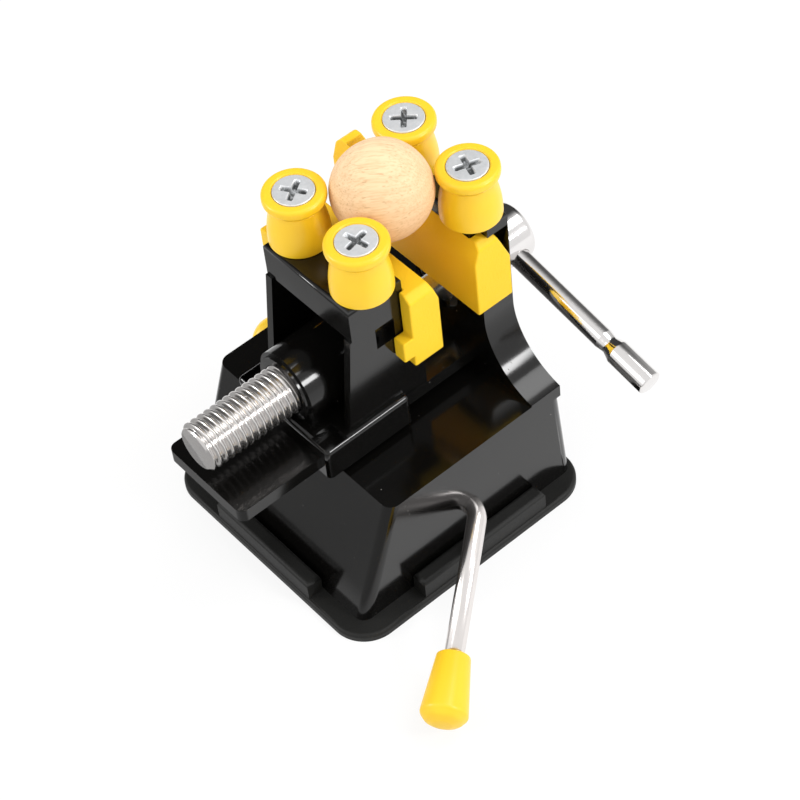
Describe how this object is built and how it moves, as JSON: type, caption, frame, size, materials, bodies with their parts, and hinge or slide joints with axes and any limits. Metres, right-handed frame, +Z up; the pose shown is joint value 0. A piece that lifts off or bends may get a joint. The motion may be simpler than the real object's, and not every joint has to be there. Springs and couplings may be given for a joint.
{
  "type": "ball vise",
  "caption": "Small suction-base bench vise with a T rail, a screw-driven jaw and soft posts that grip a wooden ball.",
  "frame": {"origin": "middle of the flat underside of the suction pad", "axes": "+Z up, +X from the open end of the rail to the tommy bar, along the lead screw; -Y the side the lever's handle is on"},
  "size_m": [0.0921, 0.1118, 0.0992],
  "materials": {
    "black_gloss": "glossy moulded black plastic",
    "black_rubber": "satin black rubber",
    "inner_plastic": "dark moulded plastic",
    "bright_wire": "bright plated wire",
    "yellow_knob": "satin yellow plastic",
    "plain_steel": "plain steel",
    "yellow_pad": "finely textured yellow plastic",
    "thread_steel": "rolled thread, bright",
    "chrome_head": "polished plating",
    "ball_wood": "bare turned wood",
    "yellow_post": "satin yellow plastic",
    "zinc_screw": "bright zinc"
  },
  "bodies": {
    "root": {"base_body": "black_gloss", "suction_pad": "black_rubber", "thrust_washer": "plain_steel", "fixed_jaw_pad": "yellow_pad", "post_fixed_near": "yellow_post", "post_fixed_far": "yellow_post", "post_screw_fixed_near": "zinc_screw", "post_screw_fixed_far": "zinc_screw"},
    "jaw": {"moving_jaw": "black_gloss", "jaw_nut": "plain_steel", "moving_jaw_pad": "yellow_pad", "post_moving_near": "yellow_post", "post_moving_far": "yellow_post", "post_screw_moving_near": "zinc_screw", "post_screw_moving_far": "zinc_screw"},
    "screw": {"lead_screw": "thread_steel", "screw_head": "chrome_head", "retaining_clip": "plain_steel"},
    "bar": {"tommy_bar": "chrome_head", "bar_end_button": "chrome_head"},
    "lever": {"lever_rod": "bright_wire", "lever_knob": "yellow_knob", "lever_end_cap": "yellow_knob"},
    "stem": {"suction_stem": "inner_plastic"},
    "ball": {"wooden_ball": "ball_wood"}
  },
  "joints": [
    {"name": "screw_turn", "type": "hinge", "parent": "root", "child": "screw", "pos_m": [0.031, 0, 0.0505], "axis": [1, 0, 0], "range_deg": [0, 4320]},
    {"name": "jaw_slide", "type": "slide", "parent": "root", "child": "jaw", "axis": [1, 0, 0], "range_m": [-0.02101, 0]},
    {"name": "bar_slide", "type": "slide", "parent": "screw", "child": "bar", "axis": [0, 0.9769, 0.2135], "range_m": [0, 0.027]},
    {"name": "lever_turn", "type": "hinge", "parent": "root", "child": "lever", "pos_m": [0.003, 0, 0.0155], "axis": [0, 1, 0], "range_deg": [0, 90]},
    {"name": "stem_lift", "type": "slide", "parent": "root", "child": "stem", "axis": [0, 0, 1], "range_m": [0, 0.00425]},
    {"name": "ball_lift", "type": "slide", "parent": "root", "child": "ball", "axis": [0, 0, 1], "range_m": [0, 0.03]}
  ],
  "couplings": [
    {"joint": "jaw_slide", "follows": "screw_turn", "m_per_rad": -0.00027852},
    {"joint": "stem_lift", "follows": "lever_turn", "m_per_rad": 0.0027009}
  ]
}
